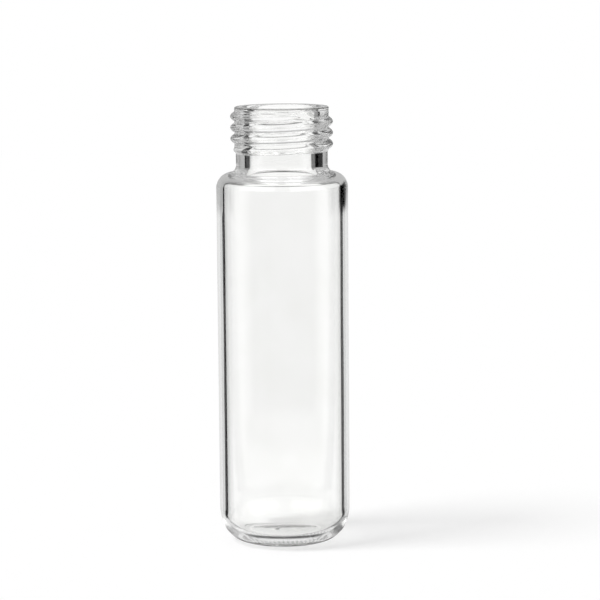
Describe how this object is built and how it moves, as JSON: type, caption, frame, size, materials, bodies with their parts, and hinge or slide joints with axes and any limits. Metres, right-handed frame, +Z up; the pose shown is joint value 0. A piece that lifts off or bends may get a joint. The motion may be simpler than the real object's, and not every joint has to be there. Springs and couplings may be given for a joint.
{
  "type": "glass sample vial",
  "caption": "Clear tubular glass sample vial with a rounded heel, short shoulder and moulded screw neck, open at the mouth.",
  "frame": {"origin": "centre of the foot ring, on the surface the vial stands on", "axes": "+Z up along the vial's axis to the mouth; +X to the right and -Y towards the viewer of the front"},
  "size_m": [0.0225, 0.0224, 0.075],
  "materials": {
    "clear_glass": "clear, fire-polished"
  },
  "bodies": {
    "root": {"glass_vial": "clear_glass"}
  },
  "joints": []
}
